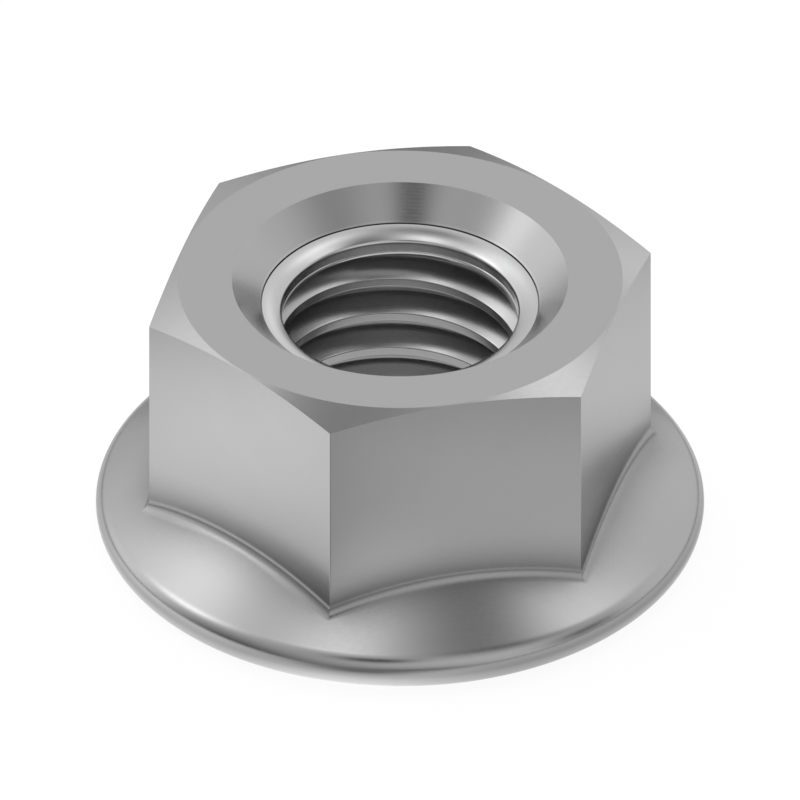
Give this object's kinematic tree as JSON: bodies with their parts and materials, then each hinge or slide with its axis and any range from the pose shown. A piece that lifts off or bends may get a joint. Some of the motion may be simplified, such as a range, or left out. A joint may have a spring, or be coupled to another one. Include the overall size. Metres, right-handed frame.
{
  "type": "hex flange lock nut",
  "caption": "Hex nut forged with a conical washer flange and rounded rim, countersunk above, with a raised ring where the threaded bore begins.",
  "frame": {"origin": "centre of the bearing face under the flange, at the bottom of the nut", "axes": "+Z along the thread axis from the bearing face to the countersunk top face; two hex corners on X, two wrench flats facing +Y and -Y"},
  "size_m": [0.0216, 0.0216, 0.0105],
  "materials": {
    "steel": "smooth machined steel with a satin sheen"
  },
  "bodies": {
    "root": {"nut": "steel"}
  },
  "joints": []
}
